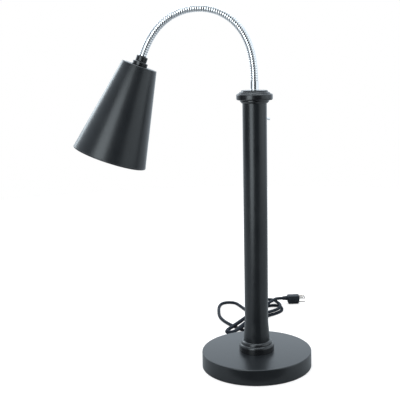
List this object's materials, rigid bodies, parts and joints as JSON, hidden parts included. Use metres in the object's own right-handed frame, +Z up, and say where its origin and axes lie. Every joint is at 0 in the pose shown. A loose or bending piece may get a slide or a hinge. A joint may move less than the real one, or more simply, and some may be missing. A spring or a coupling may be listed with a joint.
{
  "type": "food heat lamp",
  "caption": "Food heat lamp with a weighted round base, a straight post, a bendable gooseneck and a conical shade over a reflector bulb.",
  "frame": {"origin": "centre of the base on the surface that it stands on", "axes": "+Z up the post; the gooseneck and shade reach towards -X; the power cord leaves at the rear, towards +Y"},
  "size_m": [0.5365, 0.5637, 0.7722],
  "materials": {
    "powder_black": "satin powder coat",
    "gloss_black": "gloss enamel",
    "neck_chrome": "polished chrome",
    "bright_chrome": "polished",
    "cast_weight": "as cast",
    "zinc_steel": "zinc plated",
    "felt_pad": "felt",
    "switch_case": "matt",
    "grommet_rubber": "matt",
    "cord_jacket": "satin",
    "plug_moulding": "satin",
    "prong_brass": "plain",
    "wire_sleeve": "woven glass sleeve",
    "wire_cover": "plain",
    "porcelain": "glazed porcelain",
    "socket_brass": "plain",
    "bulb_glass": "frosted glass",
    "bulb_cap": "plain"
  },
  "bodies": {
    "stand": {"base_pad": "felt_pad", "base_plate": "zinc_steel", "base_screws": "zinc_steel", "base_weight": "cast_weight", "base_cover": "powder_black", "base_collar": "gloss_black", "foot_plug": "zinc_steel", "foot_bolt": "zinc_steel", "foot_washer": "zinc_steel", "post_tube": "powder_black", "cap_ring": "gloss_black", "cap_plate": "gloss_black", "neck_ferrule": "bright_chrome", "neck_nipple": "zinc_steel", "neck_locknut": "zinc_steel", "switch_body": "switch_case", "switch_nut": "bright_chrome", "cord_grommet": "grommet_rubber", "inner_cord": "cord_jacket", "post_wires": "wire_cover", "power_cord": "cord_jacket", "cord_hank": "cord_jacket", "plug_body": "plug_moulding", "plug_blades": "prong_brass", "plug_ground_pin": "prong_brass", "neck_link_01": "neck_chrome", "neck_wires_01": "wire_sleeve"},
    "link_02": {"neck_link_02": "neck_chrome", "neck_wires_02": "wire_sleeve"},
    "link_03": {"neck_link_03": "neck_chrome", "neck_wires_03": "wire_sleeve"},
    "link_04": {"neck_link_04": "neck_chrome", "neck_wires_04": "wire_sleeve"},
    "link_05": {"neck_link_05": "neck_chrome", "neck_wires_05": "wire_sleeve"},
    "link_06": {"neck_link_06": "neck_chrome", "neck_wires_06": "wire_sleeve"},
    "link_07": {"neck_link_07": "neck_chrome", "neck_wires_07": "wire_sleeve"},
    "link_08": {"neck_link_08": "neck_chrome", "neck_wires_08": "wire_sleeve"},
    "link_09": {"neck_link_09": "neck_chrome", "neck_wires_09": "wire_sleeve"},
    "link_10": {"neck_link_10": "neck_chrome", "neck_wires_10": "wire_sleeve"},
    "lamp_head": {"neck_link_11": "neck_chrome", "neck_wires_11": "wire_sleeve", "neck_end_collar": "gloss_black", "shade_collar": "gloss_black", "shade": "powder_black", "shade_nipple": "zinc_steel", "shade_locknut": "zinc_steel", "socket_body": "porcelain", "socket_shell": "socket_brass", "socket_contact": "socket_brass"},
    "bulb": {"bulb_glass": "bulb_glass", "bulb_cap": "bulb_cap"},
    "lever": {"switch_lever": "bright_chrome"}
  },
  "joints": [
    {"name": "sway_low", "type": "hinge", "parent": "stand", "child": "link_02", "pos_m": [-0.00182, 0, 0.65013], "axis": [0.9942, 0, 0.108], "range_deg": [-20, 20]},
    {"name": "bend_low", "type": "hinge", "parent": "link_02", "child": "link_03", "pos_m": [-0.00839, 0, 0.68304], "axis": [0, 1, 0], "range_deg": [-3, 12]},
    {"name": "bend_low_b", "type": "hinge", "parent": "link_03", "child": "link_04", "pos_m": [-0.02181, 0, 0.71375], "axis": [0, 1, 0], "range_deg": [-3.9, 15.6]},
    {"name": "bend_low_c", "type": "hinge", "parent": "link_04", "child": "link_05", "pos_m": [-0.04325, 0, 0.73944], "axis": [0, 1, 0], "range_deg": [-4.5, 18]},
    {"name": "bend_low_d", "type": "hinge", "parent": "link_05", "child": "link_06", "pos_m": [-0.0718, 0, 0.75683], "axis": [0, 1, 0], "range_deg": [-4.5, 18]},
    {"name": "sway_high", "type": "hinge", "parent": "link_06", "child": "link_07", "pos_m": [-0.10447, 0, 0.76405], "axis": [0.0576, 0, 0.9983], "range_deg": [-20, 20]},
    {"name": "bend_high", "type": "hinge", "parent": "link_07", "child": "link_08", "pos_m": [-0.13781, 0, 0.76098], "axis": [0, 1, 0], "range_deg": [-4, 17]},
    {"name": "bend_high_b", "type": "hinge", "parent": "link_08", "child": "link_09", "pos_m": [-0.16876, 0, 0.74823], "axis": [0, 1, 0], "range_deg": [-4, 17]},
    {"name": "bend_high_c", "type": "hinge", "parent": "link_09", "child": "link_10", "pos_m": [-0.19463, 0, 0.72698], "axis": [0, 1, 0], "range_deg": [-3.6, 15.3]},
    {"name": "bend_high_d", "type": "hinge", "parent": "link_10", "child": "lamp_head", "pos_m": [-0.21402, 0, 0.69964], "axis": [0, 1, 0], "range_deg": [-2.6, 11.05]},
    {"name": "switch_tip", "type": "hinge", "parent": "stand", "child": "lever", "pos_m": [0.02197, 0.02013, 0.539], "axis": [0.6756, -0.7373, 0], "range_deg": [0, 25]},
    {"name": "bulb_out", "type": "slide", "parent": "lamp_head", "child": "bulb", "axis": [-0.342, 0, -0.9397], "range_m": [0, 0.03]}
  ],
  "couplings": [
    {"joint": "bend_low_b", "follows": "bend_low", "ratio": 1.3},
    {"joint": "bend_low_c", "follows": "bend_low", "ratio": 1.5},
    {"joint": "bend_low_d", "follows": "bend_low", "ratio": 1.5},
    {"joint": "bend_high_b", "follows": "bend_high", "ratio": 1},
    {"joint": "bend_high_c", "follows": "bend_high", "ratio": 0.9},
    {"joint": "bend_high_d", "follows": "bend_high", "ratio": 0.65}
  ]
}
